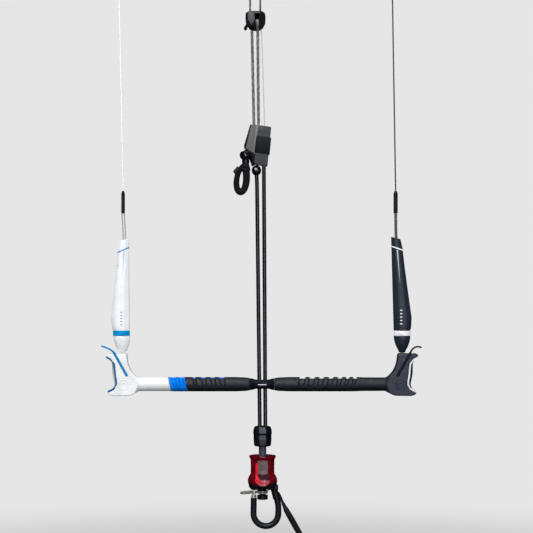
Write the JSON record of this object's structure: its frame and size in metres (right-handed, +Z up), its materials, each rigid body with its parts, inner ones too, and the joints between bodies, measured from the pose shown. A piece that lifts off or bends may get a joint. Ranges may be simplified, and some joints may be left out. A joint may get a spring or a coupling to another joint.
{
  "type": "kitesurf control bar",
  "caption": "Control bar for a kitesurf kite: bar with grips, winding ends, floats and leader lines, depower cleat and tubes, swivel, push-away release and chicken loop.",
  "frame": {"origin": "level of the line ends by which the part hangs, above the middle of the swivel axis", "axes": "+Z up towards the kite, +X to the right seen from the front (the rider's side), +Y away from the rider"},
  "size_m": [0.533, 0.0516, 0.9375],
  "materials": {
    "dark_line": "braided dark grey line, matte",
    "white_line": "braided white line, matte",
    "grey_line": "braided grey line, matte",
    "trim_rope": "braided dark grey rope with light flecks",
    "flag_line": "thin pale line",
    "black_plastic": "black moulded plastic, satin",
    "grey_plastic": "grey-olive moulded plastic, satin",
    "gloss_black": "black, glossy",
    "black_rubber": "black rubber, matte",
    "depower_tube": "black polyurethane tube, glossy",
    "washer_brass": "turned",
    "webbing": "black woven webbing",
    "bush_plastic": "self-lubricating plastic, satin",
    "core_tube": "carbon fibre laminate",
    "grip_foam": "ribbed dark foam rubber grip, matte",
    "blue_grip": "blue foam rubber grip, matte",
    "white_plastic": "white moulded plastic, satin",
    "navy_plastic": "dark navy moulded plastic, satin",
    "blue_trim": "blue, satin",
    "white_trim": "white, satin",
    "blue_elastic": "blue elastic cord",
    "black_elastic": "black elastic cord",
    "white_foam": "white closed-cell foam with a smooth skin",
    "navy_foam": "dark navy closed-cell foam with a smooth skin",
    "dark_metal": "black anodised",
    "steel": "polished stainless steel",
    "red_plastic": "glossy dark red",
    "loop_rubber": "black polyurethane, satin"
  },
  "bodies": {
    "lines": {"front_line_left": "dark_line", "front_line_right": "dark_line", "front_line_knot_left": "dark_line", "front_line_knot_right": "dark_line", "separator_body": "black_plastic", "trim_rope_left": "trim_rope", "trim_rope_right": "trim_rope", "flag_line": "flag_line"},
    "cleat": {"cleat_housing": "black_plastic", "cleat_cover": "grey_plastic", "cleat_band": "black_rubber", "cleat_jaw": "black_plastic", "stopper_ball": "gloss_black", "depower_tube_left": "depower_tube", "depower_tube_right": "depower_tube", "swivel_barrel": "black_plastic", "thrust_washer": "washer_brass"},
    "trim_handle": {"trim_knob": "gloss_black", "handle_strap": "webbing"},
    "bush": {"centre_bush": "bush_plastic"},
    "bar": {"centre_hub": "black_plastic", "core_tube_left": "core_tube", "core_tube_right": "core_tube", "grip_left": "grip_foam", "grip_band": "blue_grip", "bar_sleeve_left": "white_plastic", "grip_right": "grip_foam", "bar_end_left": "white_plastic", "bar_end_right": "navy_plastic", "end_trim_left": "blue_trim", "end_trim_right": "white_trim", "end_cap_left": "white_plastic", "end_cap_right": "navy_plastic"},
    "retainer_left": {"retainer_left": "blue_elastic"},
    "retainer_right": {"retainer_right": "black_elastic"},
    "float_left": {"float_left": "white_foam", "float_band_left": "blue_trim", "float_cone_left": "white_foam", "pigtail_left": "grey_line", "line_sleeve_left": "black_rubber", "leader_line_left": "white_line", "leader_knot_left": "white_line"},
    "float_right": {"float_right": "navy_foam", "float_band_right": "white_trim", "float_cone_right": "navy_foam", "pigtail_right": "grey_line", "line_sleeve_right": "black_rubber", "leader_line_right": "dark_line", "leader_knot_right": "dark_line"},
    "release": {"swivel_shaft": "dark_metal", "spring_seat": "black_plastic", "release_spring": "steel", "release_core": "black_plastic", "post_cap": "black_plastic"},
    "release_sleeve": {"release_sleeve": "red_plastic"},
    "leash_ring": {"leash_ring": "steel"},
    "loop": {"loop_ferrule": "black_plastic", "loop_tube": "loop_rubber", "loop_fitting": "steel"},
    "finger": {"loop_finger": "black_rubber"}
  },
  "joints": [
    {"name": "depower_trim", "type": "slide", "parent": "lines", "child": "cleat", "axis": [0, 0, 1], "range_m": [0, 0.11], "deforming": ["trim_rope_left", "trim_rope_right", "flag_line"]},
    {"name": "handle_swing", "type": "hinge", "parent": "cleat", "child": "trim_handle", "pos_m": [-0.0278, -0.008, -0.2796], "axis": [0, 1, 0], "range_deg": [0, 70]},
    {"name": "bar_slide", "type": "slide", "parent": "cleat", "child": "bush", "axis": [-0.0088, 0, 1], "range_m": [-0.055, 0.26]},
    {"name": "bar_tilt", "type": "hinge", "parent": "bush", "child": "bar", "pos_m": [-0.0005, 0, -0.668], "axis": [0, 1, 0], "range_deg": [-20, 20]},
    {"name": "float_left_swing", "type": "hinge", "parent": "bar", "child": "float_left", "pos_m": [-0.2324, 0, -0.6125], "axis": [0, 1, 0], "range_deg": [-20, 20]},
    {"name": "float_right_swing", "type": "hinge", "parent": "bar", "child": "float_right", "pos_m": [0.2316, 0, -0.611], "axis": [0, 1, 0], "range_deg": [-20, 20]},
    {"name": "retainer_left_lift", "type": "hinge", "parent": "bar", "child": "retainer_left", "pos_m": [-0.2239, -0.012, -0.654], "axis": [0.8737, 0, 0.4864], "range_deg": [0, 40], "stiffness_Nm_per_rad": 0.02},
    {"name": "retainer_right_lift", "type": "hinge", "parent": "bar", "child": "retainer_right", "pos_m": [0.2229, -0.012, -0.654], "axis": [0.8737, 0, -0.4864], "range_deg": [0, 40], "stiffness_Nm_per_rad": 0.02},
    {"name": "swivel_spin", "type": "hinge", "parent": "cleat", "child": "release", "pos_m": [0, 0, -0.757], "axis": [0, 0, 1], "continuous": true},
    {"name": "sleeve_push", "type": "slide", "parent": "release", "child": "release_sleeve", "axis": [0, 0, 1], "range_m": [0, 0.01], "stiffness_N_per_m": 900, "springref_m": -0.004, "deforming": ["release_spring"]},
    {"name": "loop_swing", "type": "hinge", "parent": "release", "child": "loop", "pos_m": [0.0199, 0, -0.8441], "axis": [-0.2557, 0, 0.9668], "range_deg": [0, 100]},
    {"name": "finger_swing", "type": "hinge", "parent": "loop", "child": "finger", "pos_m": [0.031, 0, -0.8525], "axis": [0, -1, 0], "range_deg": [-4, 55], "stiffness_Nm_per_rad": 0.3},
    {"name": "leash_ring_swing", "type": "hinge", "parent": "release", "child": "leash_ring", "pos_m": [0, 0, -0.848], "axis": [0, 0, 1], "range_deg": [-105, 0]}
  ],
  "couplings": [
    {"joint": "float_left_swing", "follows": "bar_tilt", "ratio": -1},
    {"joint": "float_right_swing", "follows": "bar_tilt", "ratio": -1}
  ]
}
